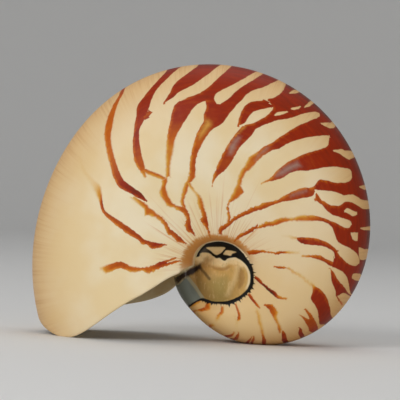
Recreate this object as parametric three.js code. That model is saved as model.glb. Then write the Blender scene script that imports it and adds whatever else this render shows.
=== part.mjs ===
// The shell of a chambered nautilus: one coiled, hollow body that grew as a single piece.
// Millimetres, +Z up. The coil lies in the XZ plane, its axis is parallel to Y, and the mouth
// opens down and towards +X from the low end at -X. The shell stands on the two lobes of its lip
// and on the outer wall of the coil, and its origin is at the centre of its base.
//
// A place on the shell has a turn angle, which runs round the axis from +X towards +Z and grows
// towards the mouth, and a column s across one side: -1 at the foot of the umbilical wall,
// 0 at the umbilical shoulder and 1 on the venter, the outer edge of the coil.

import * as THREE from "three";

// Coil: radius of the venter from the axis, as control radii every 30 degrees of turn.
const TURN_STEP = 30;
const VENTER_FROM = -330;
const VENTER_RADII = [
  15.5, 17, 19, 21, 23, 25, 26, 27, 34.5, 46, 60.5,
  72.5, 83.5, 96, 104, 105.5, 99, 97.5, 99, 100, 101,
];

// Breadth: half the whorl's width at the mouth, and how much wider each whole turn makes it.
const MOUTH_HALF_WIDTH = 41;
const WIDTH_PER_TURN = 2.6;
const MOUTH_TURN = 195;

// Section: the widest place and the shoulder, as shares, and the roundness of flank and venter.
const WIDEST_SHARE = 0.28;
const SHOULDER_SHARE = 0.88;
const SHOULDER_ROUNDING = 3;
const INNER_FLANK_COLUMNS = 0.24;
const FLANK_POWER = 2.3;
const VENTER_POWER = 2.15;
const WALL = 1.6;

// Umbilicus: radii of its rim and of the foot of its wall, and the height of that foot above the
// median plane, as control values every 30 degrees from turn angle 0.
const RIM_RADII = [17.7, 15.7, 14.5, 14.1, 15.2, 16, 15.2, 15.5, 18.2, 20, 20.5, 20.2];
const FOOT_RADII = [16.5, 14.5, 13.3, 12.9, 13.6, 13.7, 12.3, 13.5, 17, 18.8, 19.3, 19];
const FOOT_HEIGHTS = [19, 19, 18.8, 18.2, 17, 15.3, 13.7, 14.2, 15.6, 16.9, 18.1, 18.8];

// Callus: the rounded pad that plugs the umbilicus, and the groove between it and the wall.
const CALLUS = { middleHeight: 16.5, x: -1, z: -7.5, halfLength: 14.5, halfBreadth: 12.5, rise: 5 };
const GROOVE = { radius: 8.6, halfWidth: 2.6, depth: 3.4, turn: 95 };

// Mouth: turn angle of the lip, as control values every eighth of the flank, from the foot of the
// umbilical wall to the venter, where the lip swings back in the sinus below the funnel. The lip
// of the +Y side leads that of the -Y side by a tongue beside the umbilicus.
const LIP_TURNS = [173, 178, 183, 187, 196.7, 200.3, 204, 206.2, 205.8, 201, 197.4, 193.2, 197.4];
const FAR_LIP_LEADS = [0, 0, 0, 1, 6, 6, -3, -6, 0.6, 0, 0, 0, 0];
const LIP_FROM = -3 / 8;

// Body chamber: how far it runs back from the lip, and how deep its last septum is dished.
const CHAMBER_TURN = 125;
const SEPTUM_DISH_TURN = 16;
const SEAM_SHRINK_POWER = 0.4;

// Standing: the turn that brings the lip's lobes and the coil down to one level, and how much of
// them is worn flat where they touch.
const REST_TURN = 2.8;
const WORN_FLAT = 0.8;

// Facets.
const TURN_ROWS = 72;
const WALL_COLUMNS = 2;
const FLANK_COLUMNS = 10;
const CALLUS_RINGS = 4;
const LIP_ROWS = 3;
const CHAMBER_ROWS = 22;
const SEPTUM_ROWS = 4;
const MERGE_DISTANCE = 1e-4;

const radians = THREE.MathUtils.degToRad;
const mix = THREE.MathUtils.lerp;

// Uniform cubic B-spline through a list of control values, the first of which is at `from`.
function smooth(values, from, step, at) {
  const place = (at - from) / step;
  const i = THREE.MathUtils.clamp(Math.floor(place), 1, values.length - 3);
  const u = place - i;
  const weights = [(1 - u) ** 3, 3 * u ** 3 - 6 * u ** 2 + 4, -3 * u ** 3 + 3 * u ** 2 + 3 * u + 1, u ** 3];
  return weights.reduce((sum, w, k) => sum + (w * values[i - 1 + k]) / 6, 0);
}

// The same round the umbilicus, where the list closes on itself.
function smoothRound(values, turn) {
  const n = values.length;
  const closed = [values[n - 1], ...values, values[0], values[1]];
  return smooth(closed, -TURN_STEP, TURN_STEP, ((turn % 360) + 360) % 360);
}

const venterRadius = (turn) => smooth(VENTER_RADII, VENTER_FROM, TURN_STEP, turn);
const halfWidth = (turn) => MOUTH_HALF_WIDTH * WIDTH_PER_TURN ** ((turn - MOUTH_TURN) / 360);

// Turn angle of the lip at column s of the -Y side (side 1) or the +Y side (side -1).
function lipTurn(s, side) {
  const at = s < 0 ? s / 4 : s;
  const lead = side < 0 ? smooth(FAR_LIP_LEADS, LIP_FROM, 1 / 8, at) : 0;
  return smooth(LIP_TURNS, LIP_FROM, 1 / 8, at) + lead;
}

const FOOT_TURN = lipTurn(-1, 1);
const FOLD_TURN = FOOT_TURN - 360;

// Foot of the umbilical wall: in the open round the umbilicus, and inside the mouth the seam
// where the chamber's wall stands on the whorl before it.
function foot(turn) {
  if (turn >= FOLD_TURN) {
    return { r: smoothRound(FOOT_RADII, turn), y: smoothRound(FOOT_HEIGHTS, turn) };
  }
  const shrink = venterRadius(turn) / venterRadius(FOLD_TURN);
  return {
    r: smoothRound(FOOT_RADII, FOLD_TURN) * shrink ** SEAM_SHRINK_POWER,
    y: (smoothRound(FOOT_HEIGHTS, FOLD_TURN) * halfWidth(turn)) / halfWidth(FOLD_TURN),
  };
}

// Outline of one side of a whorl, outside it (inset 0) or on the chamber's side of its wall.
function section(turn, inset) {
  const base = foot(inset ? turn - 360 : turn);
  const inMouth = turn < FOLD_TURN;
  const rim = inMouth ? base.r + 1.2 : smoothRound(RIM_RADII, turn) + inset;
  return {
    base,
    rim,
    venter: venterRadius(turn) - inset,
    width: halfWidth(turn) - inset,
    shoulder: SHOULDER_SHARE * halfWidth(turn) - inset,
  };
}

// Radius and height above the median plane at column s of an outline.
function onSection({ base, rim, venter, width, shoulder }, s) {
  const widest = rim + WIDEST_SHARE * (venter - rim);
  const start = rim + Math.min(SHOULDER_ROUNDING, (widest - rim) / 2);
  const fall = (width - shoulder) / (widest - rim) ** 2;
  const height = (r) => width - fall * (widest - r) ** 2;
  if (s < 0) {
    const t = s + 1;
    const corner = height(start) - 2 * fall * (widest - start) * (start - rim);
    const bezier = (a, b, c) => (1 - t) ** 2 * a + 2 * t * (1 - t) * b + t ** 2 * c;
    return { r: bezier(base.r, rim, start), y: bezier(base.y, corner, height(start)) };
  }
  if (s < INNER_FLANK_COLUMNS) {
    const r = mix(start, widest, s / INNER_FLANK_COLUMNS);
    return { r, y: height(r) };
  }
  const angle = ((s - INNER_FLANK_COLUMNS) / (1 - INNER_FLANK_COLUMNS)) * (Math.PI / 2);
  return {
    r: widest + (venter - widest) * Math.sin(angle) ** (2 / FLANK_POWER),
    y: width * Math.max(Math.cos(angle), 0) ** (2 / VENTER_POWER),
  };
}

// A point of the -Y side (side 1) or the +Y side (side -1), at a radius, a height above the median
// plane and a turn.
function place(r, y, turn, side) {
  return new THREE.Vector3(r * Math.cos(radians(turn)), -y * side, r * Math.sin(radians(turn)));
}

// A point of the shell at a turn and a column, on its outside or as far in as the inset says.
function shellPoint(turn, s, side, inset = 0) {
  const { r, y } = onSection(section(turn, inset), s);
  return place(r, y, turn, side);
}

// A point of the callus, from the middle of the umbilicus (share 0) to the foot of its wall (1).
function callusPoint(turn, share, side) {
  const edge = foot(turn);
  const r = edge.r * share;
  const x = (r * Math.cos(radians(turn)) - CALLUS.x) / CALLUS.halfLength;
  const z = (r * Math.sin(radians(turn)) - CALLUS.z) / CALLUS.halfBreadth;
  const swell = CALLUS.rise * Math.max(0, 1 - x ** 2 - z ** 2) ** 1.5;
  const facing = Math.max(0, Math.cos(radians(turn - GROOVE.turn)));
  const groove = GROOVE.depth * facing * Math.exp(-(((r - GROOVE.radius) / GROOVE.halfWidth) ** 2));
  const free = 1 - share ** 8;
  const y = mix(CALLUS.middleHeight, edge.y, share ** 2) + free * (swell - groove);
  return place(r, y, turn, side);
}

const steps = (n) => Array.from({ length: n + 1 }, (_, k) => k / n);
const COLUMNS = [...steps(WALL_COLUMNS).map((t) => t - 1), ...steps(FLANK_COLUMNS).slice(1)];

// How far back along the shell, as a turn, the outside and the chamber's side of its wall begin
// behind the lip, to leave room for the rounded edge. At the foot the edge runs out to nothing.
function setBack(s, side, length) {
  const { r } = onSection(section(lipTurn(s, side), 0), s);
  return THREE.MathUtils.radToDeg(length / r);
}
const outerBack = (s, side) => setBack(s, side, s === -1 ? 0 : WALL / 2);
const chamberBack = (s, side) => setBack(s, side, s === -1 ? WALL : WALL / 2);

// The sheets of one side. Each is a grid of points whose rows run out from the umbilicus.
function outerSheet(side) {
  const row = (t) => COLUMNS.map((s) => {
    const lip = lipTurn(s, side);
    return shellPoint(mix(lip - 360, lip - outerBack(s, side), t), s, side);
  });
  return steps(TURN_ROWS).map(row);
}

function callusSheet(side) {
  const row = (t) => steps(CALLUS_RINGS).map((share) => {
    return callusPoint(mix(FOLD_TURN, FOOT_TURN, t), share, side);
  });
  return steps(TURN_ROWS).map(row);
}

// The whorl before, where it runs on inside the mouth as the floor of the body chamber.
function floorSheet(side) {
  const thickness = chamberBack(-1, side);
  const edgeBacks = steps(LIP_ROWS).slice(0, -1).map((t) => thickness * t);
  const deepBacks = steps(CHAMBER_ROWS).map((t) => mix(thickness, CHAMBER_TURN, t));
  const row = (back) => COLUMNS.map((s) => shellPoint(lipTurn(s, side) - 360 - back, s, side));
  return [...edgeBacks, ...deepBacks].map(row);
}

// The chamber's side of the wall, which stands on the floor along the seam.
function chamberSheet(side, seam) {
  const row = (t, k) => COLUMNS.map((s, j) => {
    const lip = lipTurn(s, side);
    return j ? shellPoint(mix(lip - chamberBack(s, side), lip - CHAMBER_TURN, t), s, side, WALL) : seam[k];
  });
  return steps(CHAMBER_ROWS).map(row);
}

// Rounded edge of the lip, from the outside of the wall to the chamber's side of it.
function lipSheet(side, outer, chamber) {
  const row = (t) => outer.map((from, j) => {
    const turn = radians(lipTurn(COLUMNS[j], side));
    const forward = new THREE.Vector3(-Math.sin(turn), 0, Math.cos(turn));
    const fullness = Math.min(1, j / WALL_COLUMNS) * Math.sin(Math.PI * t);
    const bulge = (fullness * from.distanceTo(chamber[j])) / 2;
    return from.clone().lerp(chamber[j], (1 - Math.cos(Math.PI * t)) / 2).addScaledVector(forward, bulge);
  });
  return steps(LIP_ROWS).map(row);
}

// Last septum: spans from the chamber's wall to its floor and is dished away from the mouth.
function septumSheet(wall, floor) {
  const row = (t) => wall.map((from, j) => {
    const depth = 4 * t * (1 - t) * Math.sqrt(j / (wall.length - 1));
    const dish = radians(SEPTUM_DISH_TURN * depth);
    return from.clone().lerp(floor[j], t).applyAxisAngle(new THREE.Vector3(0, 1, 0), dish);
  });
  return steps(SEPTUM_ROWS).map(row);
}

function sheetsOf(side) {
  const outer = outerSheet(side);
  const floor = floorSheet(side);
  const chamber = chamberSheet(side, floor.slice(LIP_ROWS).map((row) => row[0]));
  const lip = lipSheet(side, outer.at(-1), chamber[0]);
  for (let k = 1; k < LIP_ROWS; k++) {
    floor[k][0] = lip[k][0];
  }
  const septum = septumSheet(chamber.at(-1), floor.at(-1));
  return [outer, callusSheet(side), lip, chamber, septum, floor.reverse()];
}

// Joins the grids of both sides into one closed surface, welding the points that they share.
function weld() {
  const points = [];
  const faces = [];
  const known = new Map();
  const indexOf = (point) => {
    const key = point.toArray().map((v) => Math.round(v / MERGE_DISTANCE)).join();
    if (!known.has(key)) {
      known.set(key, points.length);
      points.push(point);
    }
    return known.get(key);
  };
  const addFace = (corners, side) => {
    if (new Set(corners).size === 3) {
      faces.push(side > 0 ? corners : corners.reverse());
    }
  };
  for (const side of [1, -1]) {
    for (const sheet of sheetsOf(side)) {
      const grid = sheet.map((row) => row.map(indexOf));
      for (let i = 0; i + 1 < grid.length; i++) {
        for (let j = 0; j + 1 < grid[i].length; j++) {
          addFace([grid[i][j], grid[i][j + 1], grid[i + 1][j + 1]], side);
          addFace([grid[i][j], grid[i + 1][j + 1], grid[i + 1][j]], side);
        }
      }
    }
  }
  return { points, faces };
}

// Stands the shell on the ground, centred over its origin, with a worn flat where it touches.
function stand(points) {
  const turn = new THREE.Matrix4().makeRotationY(-radians(REST_TURN));
  points.forEach((p) => p.applyMatrix4(turn));
  const box = new THREE.Box3().setFromPoints(points);
  const middle = box.getCenter(new THREE.Vector3());
  points.forEach((p) => p.set(p.x - middle.x, p.y, Math.max(0, p.z - box.min.z - WORN_FLAT)));
}

function shellGeometry() {
  const { points, faces } = weld();
  stand(points);
  const geometry = new THREE.BufferGeometry().setFromPoints(points);
  geometry.setIndex(faces.flat());
  geometry.computeVertexNormals();
  return geometry;
}

function shellMesh() {
  const material = new THREE.MeshStandardMaterial({ color: 0xe3d0ad, roughness: 0.35, metalness: 0 });
  const mesh = new THREE.Mesh(shellGeometry(), material);
  mesh.name = "shell";
  return mesh;
}

const nautilus = new THREE.Group();
nautilus.add(shellMesh());

export default nautilus;
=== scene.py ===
"""A chambered nautilus shell, standing on the lobes of its lip and on its coil.

The CAD node "shell" is replaced by one fine closed mesh with the same form, so that its
surface, the folds of its callus and its rounded lip are smooth. The stripes and the black film are
drawn as distances on the mesh, which its materials colour.

A place on the shell has a turn angle in degrees, which runs round the coil's axis from +X towards
+Z and grows towards the mouth, and a column s across one side: -1 at the foot of the umbilical
wall, 0 at the umbilical shoulder and 1 on the venter. Lengths of the shell are in millimetres,
and the finished mesh is in metres.
"""
import math

import bpy
import numpy as np
from mathutils import Matrix, Vector


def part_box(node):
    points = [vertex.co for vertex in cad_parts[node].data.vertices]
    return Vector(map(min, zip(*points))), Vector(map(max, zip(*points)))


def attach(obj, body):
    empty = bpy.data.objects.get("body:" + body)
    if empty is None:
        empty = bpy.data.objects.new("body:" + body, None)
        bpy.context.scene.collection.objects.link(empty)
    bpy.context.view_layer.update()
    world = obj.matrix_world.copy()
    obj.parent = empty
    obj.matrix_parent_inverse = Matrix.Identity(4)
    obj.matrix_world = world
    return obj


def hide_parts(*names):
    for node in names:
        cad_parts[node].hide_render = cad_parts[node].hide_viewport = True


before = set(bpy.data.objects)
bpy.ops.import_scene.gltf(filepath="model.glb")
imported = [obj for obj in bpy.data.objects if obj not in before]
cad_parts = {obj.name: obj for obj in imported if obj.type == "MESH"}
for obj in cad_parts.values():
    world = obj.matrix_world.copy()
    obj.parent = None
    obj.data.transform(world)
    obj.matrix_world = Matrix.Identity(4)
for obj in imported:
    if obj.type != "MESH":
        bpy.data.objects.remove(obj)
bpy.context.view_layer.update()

MM = 0.001

# ---------------------------------------------------------------- form, as in the CAD model

TURN_STEP = 30
VENTER_FROM = -330
VENTER_RADII = [15.5, 17, 19, 21, 23, 25, 26, 27, 34.5, 46, 60.5,
                72.5, 83.5, 96, 104, 105.5, 99, 97.5, 99, 100, 101]

MOUTH_HALF_WIDTH = 41
WIDTH_PER_TURN = 2.6
MOUTH_TURN = 195

WIDEST_SHARE = 0.28
SHOULDER_SHARE = 0.88
SHOULDER_ROUNDING = 3
INNER_FLANK_COLUMNS = 0.24
FLANK_POWER = 2.3
VENTER_POWER = 2.15
WALL = 1.6

RIM_RADII = [17.7, 15.7, 14.5, 14.1, 15.2, 16, 15.2, 15.5, 18.2, 20, 20.5, 20.2]
FOOT_RADII = [16.5, 14.5, 13.3, 12.9, 13.6, 13.7, 12.3, 13.5, 17, 18.8, 19.3, 19]
FOOT_HEIGHTS = [19, 19, 18.8, 18.2, 17, 15.3, 13.7, 14.2, 15.6, 16.9, 18.1, 18.8]
COVERED_RIM_WIDTH = 1.2

CALLUS_MIDDLE_HEIGHT = 16.5
CALLUS_X, CALLUS_Z = -1, -7.5
CALLUS_HALF_LENGTH, CALLUS_HALF_BREADTH = 14.5, 12.5
CALLUS_RISE = 5
CALLUS_POWER = 1.5
CALLUS_EDGE_POWER = 8
GROOVE_RADIUS = 8.6
GROOVE_HALF_WIDTH = 2.6
GROOVE_DEPTH = 3.4
GROOVE_TURN = 95

LIP_TURNS = [173, 178, 183, 187, 196.7, 200.3, 204, 206.2, 205.8, 201, 197.4, 193.2, 197.4]
FAR_LIP_LEADS = [0, 0, 0, 1, 6, 6, -3, -6, 0.6, 0, 0, 0, 0]
LIP_FROM, LIP_STEP = -3 / 8, 1 / 8
LIP_COLUMNS_PER_WALL_COLUMN = 1 / 4

CHAMBER_TURN = 125
SEPTUM_DISH_TURN = 16
SEAM_SHRINK_POWER = 0.4

REST_TURN = 2.8
WORN_FLAT = 0.8

# ---------------------------------------------------------------- fineness of the mesh

TURN_ROWS = 360
WALL_COLUMNS = 10
FLANK_COLUMNS = 72
CALLUS_RINGS = 26
LIP_ROWS = 6
CHAMBER_ROWS = 48
SEPTUM_ROWS = 12
MERGE_DISTANCE = 1e-4
SHARP_ANGLE = 50
COLUMN_STEP = 0.01
CURVE_PIECES = 5

# What is written as the distance, in mm, of a place that isn't near any marking or outline.
FAR = -9

# ---------------------------------------------------------------- markings

# A marking is a list of cuts across it, from the umbilicus outwards. Each cut is a column, the turns
# between which the marking lies there, the one towards the mouth first, and the marking's tone:
# -1 dark brown, 0 rust, 1 orange, 2 gold and 3 hardly there. A cut with no tone has tone 0.
STRIPES = [
    # Beside the lip: a hooked stripe whose foot splits in two.
    [(0.07, 177.2, 171), (0.1, 179.4, 172.6), (0.12, 181.2, 174.3, 0.2), (0.14, 182.5, 176.4, 0.5),
     (0.175, 184.9, 178.5, 1), (0.21, 181.8, 179.4, 0.6), (0.25, 183, 179.1, 1), (0.29, 180.1, 176.1, 0.4),
     (0.32, 181.4, 177.2, 0.7), (0.345, 182.8, 178.5, 1.3), (0.365, 180.8, 179.8, 2)],
    [(0, 170, 167.4, 0.2), (0.02, 172.5, 169.2), (0.06, 176.4, 173.2), (0.09, 178.6, 175.5)],
    [(0.03, 167.8, 165, 0.3), (0.06, 171.9, 169.4), (0.09, 175.5, 172.4)],
    # The first long stripe behind the lip, which fades to gold and then to nothing.
    [(0.105, 155.4, 154.4), (0.12, 159, 155.2), (0.15, 161.7, 156.7), (0.172, 163.4, 157.1, 0.2),
     (0.2, 161.2, 158, 0.1), (0.235, 161.9, 158.1, 0.3), (0.255, 160, 156.3, 0.3),
     (0.28, 159.2, 155.2, 0.3), (0.33, 157.2, 154, 0.5), (0.4, 154.7, 153, 0.3), (0.43, 152.3, 150.1, -0.1),
     (0.45, 150.2, 147.6, 1.2), (0.48, 148.5, 145, 2), (0.52, 147, 144.6, 2.4), (0.6, 145, 143.7, 2.5),
     (0.7, 141.7, 140, 2.8), (0.77, 139, 138.2, 3)],
    # The second, in two lengths.
    [(0.29, 136.9, 135.6, -0.4), (0.32, 138.3, 135.1, -0.4), (0.36, 139.5, 136.1, -0.2),
     (0.4, 140.4, 136.6), (0.45, 138.7, 135.2, 0.4), (0.5, 136.1, 133.2, 0.8), (0.56, 133.7, 131, 1),
     (0.6, 132.1, 129.4, 1), (0.65, 130.2, 126.6, 0.9), (0.7, 127.7, 124.5, 0.9), (0.77, 124, 121.7, 0.8),
     (0.85, 120.7, 119.1, 0.5), (1, 119.1, 118, 0.3)],
    [(0.02, 143, 140.5, 0.2), (0.06, 146.6, 139.2, 0.2), (0.075, 144.6, 139, 0.3),
     (0.125, 144.8, 139.5, 0.5), (0.15, 142.2, 138.2, 0.6), (0.2, 140, 136.7, 0.9),
     (0.245, 140.6, 137.4, 1), (0.262, 143.6, 138, 1), (0.275, 140.5, 137.4, 1), (0.335, 140.7, 139, 1.8)],
    # The third, with its short spur, its orange foot and what joins it there.
    [(0.355, 128.4, 127.6, 1), (0.38, 128.4, 125.6, 0.8), (0.42, 127.9, 124, 0.6),
     (0.47, 125.6, 122.2, 0.2), (0.5, 124, 121), (0.53, 122.2, 119.7, -0.1), (0.56, 120.7, 117),
     (0.6, 118.7, 114.2), (0.66, 116.7, 111.7), (0.7, 113.7, 110), (0.8, 108.2, 105),
     (0.9, 105.7, 102.2, -0.2), (1, 105.4, 101, -0.3)],
    [(0.57, 118.5, 114.6, 0.1), (0.585, 118.5, 112.8, 0.5), (0.6, 118, 113.8, 0.2)],
    [(0.3, 120.7, 118.3, 0.9), (0.32, 123.2, 120.7, 0.9), (0.36, 126.7, 124.5, 0.9),
     (0.38, 128.2, 126, 0.8)],
    [(0.022, 125, 123, -0.2), (0.04, 127, 122), (0.06, 129, 122, 0.1), (0.08, 126.7, 120.2, 0.3),
     (0.1, 125, 118.5, 0.5), (0.12, 121.2, 117.5, 0.6), (0.15, 121.2, 116.6, 0.6),
     (0.175, 123.4, 117.2, 0.8), (0.19, 124.4, 120.6, 0.9), (0.24, 128.2, 124, 1), (0.27, 127.7, 123, 1),
     (0.3, 122, 118.5, 1)],
    [(0.17, 120, 117, 0.8), (0.22, 117.7, 114.7, 0.9), (0.255, 112.5, 108.5, 1), (0.28, 107.2, 102.8, 0.8),
     (0.3, 105.3, 102.8, 0.6)],
    # The fourth, only on the outer half.
    [(0.61, 108.6, 108, 0.3), (0.62, 108, 105.7), (0.65, 106.2, 103), (0.67, 105.3, 100.2),
     (0.7, 104.4, 97.2), (0.75, 102, 94.6), (0.8, 99.4, 92.6), (0.9, 96.8, 90.8, -0.2),
     (1, 96.4, 90, -0.4)],
    # The fifth and sixth, joined in their outer half.
    [(0.305, 119.5, 117, 1.2), (0.34, 116.7, 114.2, 1.4), (0.38, 114.2, 110.7, 1.4),
     (0.42, 112.1, 108.4, 1), (0.46, 110.2, 105.2, 0.6), (0.486, 108.9, 103, 0.3), (0.514, 107.6, 101),
     (0.545, 106.5, 99), (0.568, 105.6, 97), (0.583, 104.8, 94.5), (0.6, 102.9, 90)],
    [(0.28, 106.3, 103, 0.7), (0.327, 104.1, 101, 0.5), (0.36, 102.5, 99, 0.6), (0.39, 100.8, 96.6, 0.6),
     (0.42, 99.2, 94.3, 0.5), (0.45, 97.3, 91.6, 0.2), (0.465, 96.4, 89.4), (0.485, 95.2, 87.5),
     (0.51, 95.2, 86.4), (0.55, 94, 84.6), (0.585, 94.5, 83.3), (0.6, 102.9, 82.6), (0.62, 97.8, 81.8),
     (0.65, 94.4, 81), (0.7, 91.8, 79), (0.75, 90.2, 76.4), (0.8, 88.8, 75), (0.9, 87.4, 73.4, -0.1),
     (1, 87, 73, -0.2)],
    # A blotch at the umbilicus below them.
    [(-0.5, 104, 102.5, 0.4), (0, 104.8, 101.8, 0.4), (0.06, 107.6, 101, 0.3), (0.072, 109, 100.6, 0.3),
     (0.1, 105.7, 101, 0.6), (0.16, 106.5, 101.7, 1.1), (0.2, 105.5, 102.4, 1.2), (0.22, 105.7, 104, 1.5),
     (0.26, 109.4, 107.4, 1.1)],
    # The seventh: a short hook, and a long arm that widens to the venter.
    [(0.482, 82, 81.2, 0.2), (0.5, 81.9, 79.4), (0.54, 81.5, 78.3), (0.565, 81.1, 77.4), (0.59, 80.4, 75.6),
     (0.61, 79.4, 73.8), (0.63, 77.8, 72.2), (0.655, 75.2, 69)],
    [(0.25, 93.4, 92.8, 0.5), (0.27, 92.3, 90.2, 0.3), (0.3, 90.2, 85, 0.2), (0.33, 88.4, 82.2, 0.3),
     (0.39, 85, 79.4, 0.2), (0.46, 81.2, 75.4), (0.49, 79.4, 74.6), (0.51, 76.6, 73.3), (0.555, 73.4, 70),
     (0.58, 72.2, 68.5), (0.636, 71, 64.6), (0.655, 72, 63.8), (0.673, 74, 63), (0.7, 72.4, 62.2),
     (0.75, 71, 60.7), (0.8, 70.4, 59.3), (0.85, 70.3, 58), (0.87, 70.3, 56), (0.9, 70.4, 52.8, -0.2),
     (1, 70.7, 52.6, -0.5)],
    # The eighth, with its orange zigzag down to the ninth.
    [(0.06, 77, 73, 0.3), (0.11, 78.8, 75.6, 0.8), (0.13, 80, 77.4, 0.6), (0.155, 81, 79.2, 0.6),
     (0.17, 80.8, 79.2, 0.7), (0.2, 79.4, 75.2, 1), (0.24, 77.6, 71.4, 1), (0.252, 77, 70.4, 1),
     (0.262, 76.8, 73.8, 1.1), (0.3, 76.4, 73.6, 1.1), (0.34, 74.4, 70.6, 1), (0.365, 73.9, 69.4, 0.9),
     (0.39, 71.8, 68.2, 0.8), (0.436, 69, 65.3, 0.3), (0.468, 66.6, 62.6), (0.505, 65, 61),
     (0.545, 63.4, 59), (0.636, 60.6, 54.9), (0.69, 59, 52.7), (0.755, 57.6, 50.5), (0.775, 57.2, 49.6),
     (0.8, 56.8, 46), (0.84, 56.6, 46), (0.87, 57.4, 46), (1, 57, 46, -0.4)],
    # The ninth, long and low from the umbilicus.
    [(0.012, 88, 82, 0.2), (0.03, 87.2, 77.4, 0.2), (0.06, 77.8, 73, 0.2), (0.1, 72.6, 68, 0.3),
     (0.14, 67.4, 62.6, 0.3), (0.18, 63, 58.2, 0.4), (0.22, 59, 54.6, 0.4), (0.26, 53.8, 49.8, 0.4),
     (0.29, 49.4, 47, 0.4), (0.305, 48.2, 46, 0.3), (0.34, 46.8, 42.8, 0.3), (0.4, 44.2, 39.2, 0.2),
     (0.44, 42.2, 37.4, 0.2), (0.46, 40.6, 37.3, 0.3), (0.478, 40.2, 38.8, 0.2)],
    # The tenth and eleventh, broad at the venter.
    [(0.307, 62.3, 61.9, 0.8), (0.335, 59.8, 58, 0.4), (0.35, 59, 56.2, 0.2), (0.373, 58.6, 54.2, 0.2),
     (0.414, 57.4, 52.6), (0.455, 55.9, 50.2), (0.49, 54.5, 47.4), (0.518, 53.4, 46), (0.58, 51.1, 43.6),
     (0.61, 50, 42.6), (0.655, 48.8, 41.1), (0.695, 48.2, 39.6), (0.73, 49, 38.4), (0.76, 50, 37.6),
     (0.785, 50.5, 36.4), (0.8, 51, 30), (1, 50, 30, -0.4)],
    [(0.475, 40, 39), (0.49, 40.4, 37.8), (0.52, 40.9, 36.1), (0.56, 38.9, 34.2), (0.618, 35.7, 31.2),
     (0.645, 34.9, 29.8), (0.686, 33.9, 29.2), (0.727, 33.5, 28.4), (0.764, 34.1, 27), (0.785, 36, 26.4),
     (0.8, 40, 25.8), (0.864, 40, 24.8), (1, 40, 24.2, -0.4)],
    # The twelfth, on a thread.
    [(0.457, 35.3, 34.3, 0.4), (0.465, 36.8, 32.7, 0.3), (0.473, 38.2, 31.8, 0.3), (0.479, 33.8, 31.3, 0.2),
     (0.495, 32.4, 28, 0.2), (0.527, 29.2, 24.8), (0.555, 28, 23.4), (0.59, 27.1, 21.9),
     (0.636, 27.4, 20.1), (0.66, 27, 18.9), (0.68, 26.5, 10), (0.72, 25.2, 6.4), (0.755, 23.8, 8),
     (0.82, 22.1, 7.5), (0.9, 21.5, 6.9, -0.3), (1, 21.3, 6.9, -0.5)],
    # The thirteenth, in two lengths, from the umbilicus to the venter.
    [(-0.4, 60, 56, 0.4), (0, 59, 53.4, 0.4), (0.04, 55.4, 49.8, 0.2), (0.08, 51, 46.2, 0.1),
     (0.12, 49, 45.4, 0.1), (0.145, 47.4, 44.6, 0.2)],
    [(0.13, 46.5, 44.5, 0.5), (0.15, 45.2, 42.8, 0.7), (0.19, 44, 39.6, 0.7), (0.21, 43, 38.4, 0.7),
     (0.25, 39.4, 35.8, 0.8), (0.285, 37.4, 33.8, 1), (0.3, 34.6, 32.8, 1.1), (0.36, 31.8, 28.4, 1.2),
     (0.41, 29, 26, 0.7), (0.45, 26.4, 24.2, 0.2), (0.49, 23.8, 21.6), (0.51, 22.4, 19.4),
     (0.53, 21.4, 14.8), (0.55, 20.2, 12), (0.61, 17.4, 9.6), (0.64, 17, 8.7), (0.66, 18, 8.1),
     (0.69, 20, 7.2), (0.75, 20, 5.2), (0.78, 20, 3.6), (0.8, 20, 2.4), (0.815, 20, -2),
     (0.9, 15, -3, -0.2), (1, 15, -3.4, -0.4)],
    # The fourteenth and fifteenth, from points on the flank.
    [(0.255, 26.2, 25.4, 2.4), (0.28, 23.5, 22.2, 2), (0.303, 21, 19.8, 1.2)],
    [(0.303, 20.7, 19.6, -0.3), (0.32, 20.4, 16.6, -0.2), (0.36, 18.6, 14.2), (0.4, 16.8, 13),
     (0.44, 14.8, 11.7), (0.48, 12.6, 10), (0.52, 10, 7.6), (0.545, 8.3, 2.6)],
    [(0.33, 8.4, 7.4, 1), (0.37, 7.8, 6.4, 0.5), (0.41, 7.3, 5, 0.3), (0.43, 6.8, 4.4, 0.3),
     (0.47, 4.8, 2.8), (0.51, 3.4, 1, 0.1), (0.53, 2.8, 0.7, 0.2)],
    [(0.536, 8.6, 0.3), (0.57, 5.8, -0.5), (0.63, 2.8, -2), (0.69, 1.1, -4.2), (0.75, 0.6, -7.2),
     (0.8, 1.6, -9.3), (0.82, 4, -10), (0.9, 4, -11.7, -0.2), (1, 4, -12.1, -0.4)],
    # The sixteenth, with its thin spur.
    [(0.517, -0.1, -0.5, 0.5), (0.527, -0.9, -2, 0.1), (0.54, -1.6, -4.2), (0.565, -3, -7.1),
     (0.6, -5.2, -9.3), (0.636, -6.7, -11.2), (0.686, -8.2, -13.9), (0.7, -8.7, -13.9), (0.72, -9.2, -12.2),
     (0.755, -10, -11.7), (0.83, -11.6, -12.3), (1, -12.5, -13.2, 0.2)],
    [(0.69, -13.5, -14.2, 0.2), (0.75, -15, -15.9, 0.6), (0.86, -17.1, -17.6, 1.2)],
    # The seventeenth, broad, with a faint line that runs on from its point.
    [(0.425, -9.6, -10.4, 1.3), (0.44, -10.2, -12.6, 1.1), (0.455, -11, -13.8, 0.8),
     (0.461, -11.1, -17.4, 0.1), (0.49, -11.7, -19.5), (0.55, -13.7, -21.7), (0.6, -15.8, -23.6),
     (0.65, -18, -25.8), (0.7, -19.9, -27.5), (0.8, -23.2, -29.9), (0.9, -24.5, -29.3, -0.1),
     (1, -25, -30, -0.4)],
    [(0.255, 0.6, -0.6, 1), (0.29, -2.4, -4, 1.6), (0.32, -3.8, -5.4, 1.8), (0.4, -8.4, -10, 2),
     (0.43, -9.6, -11, 1.6)],
    # Blotches under the turn of the coil.
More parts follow.
